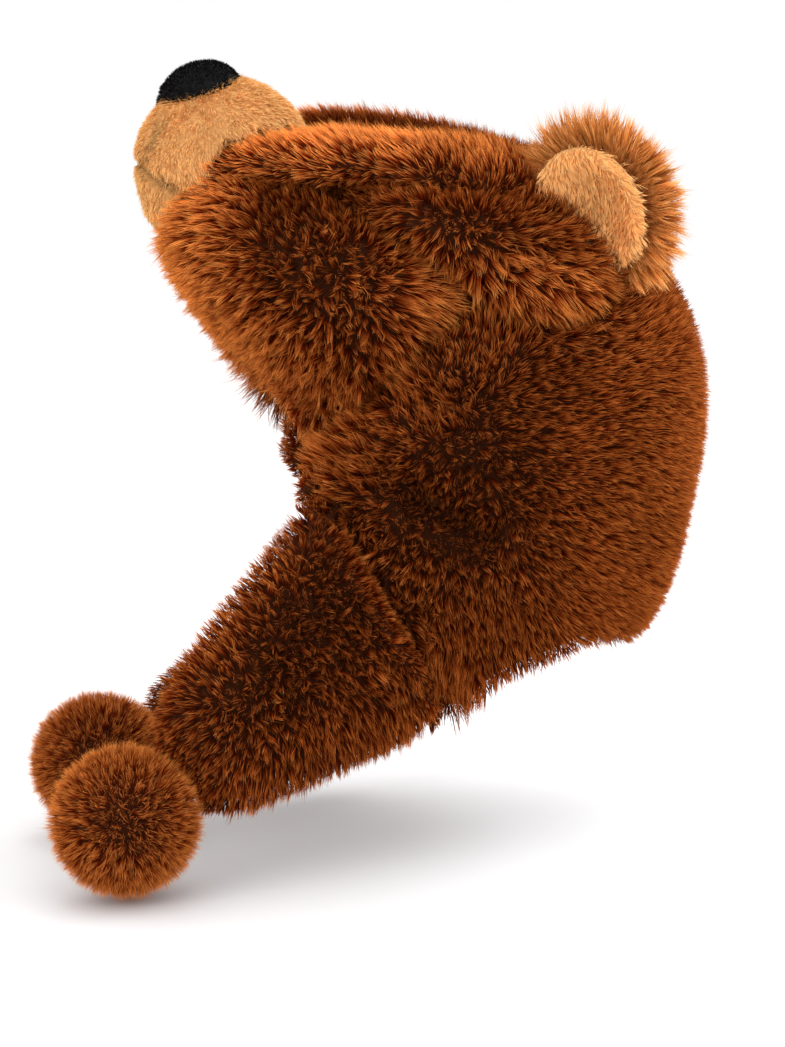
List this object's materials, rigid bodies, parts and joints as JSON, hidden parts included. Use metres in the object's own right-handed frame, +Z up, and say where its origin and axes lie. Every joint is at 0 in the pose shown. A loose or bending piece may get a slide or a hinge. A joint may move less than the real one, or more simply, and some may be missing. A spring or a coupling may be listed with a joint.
{
  "type": "plush animal hat",
  "caption": "Plush animal hood hat with a stuffed muzzle, round ears and long furry ear flaps that end in pompoms, open at the face and neck.",
  "frame": {"origin": "inner top of the crown, where the hood sits on a head", "axes": "+Z up as worn, the face opening towards -Y, the wearer's left at +X"},
  "size_m": [0.261, 0.3266, 0.3644],
  "materials": {
    "brown_fur": "long faux fur, dark at the root and lighter at the tip",
    "tan_plush": "short soft plush pile",
    "black_plush": "short black plush pile"
  },
  "bodies": {
    "root": {"hood": "brown_fur", "left_flap": "brown_fur", "right_flap": "brown_fur", "left_pompom": "brown_fur", "right_pompom": "brown_fur", "left_ear": "brown_fur", "right_ear": "brown_fur", "left_ear_lining": "tan_plush", "right_ear_lining": "tan_plush", "muzzle": "tan_plush", "nose": "black_plush"}
  },
  "joints": []
}
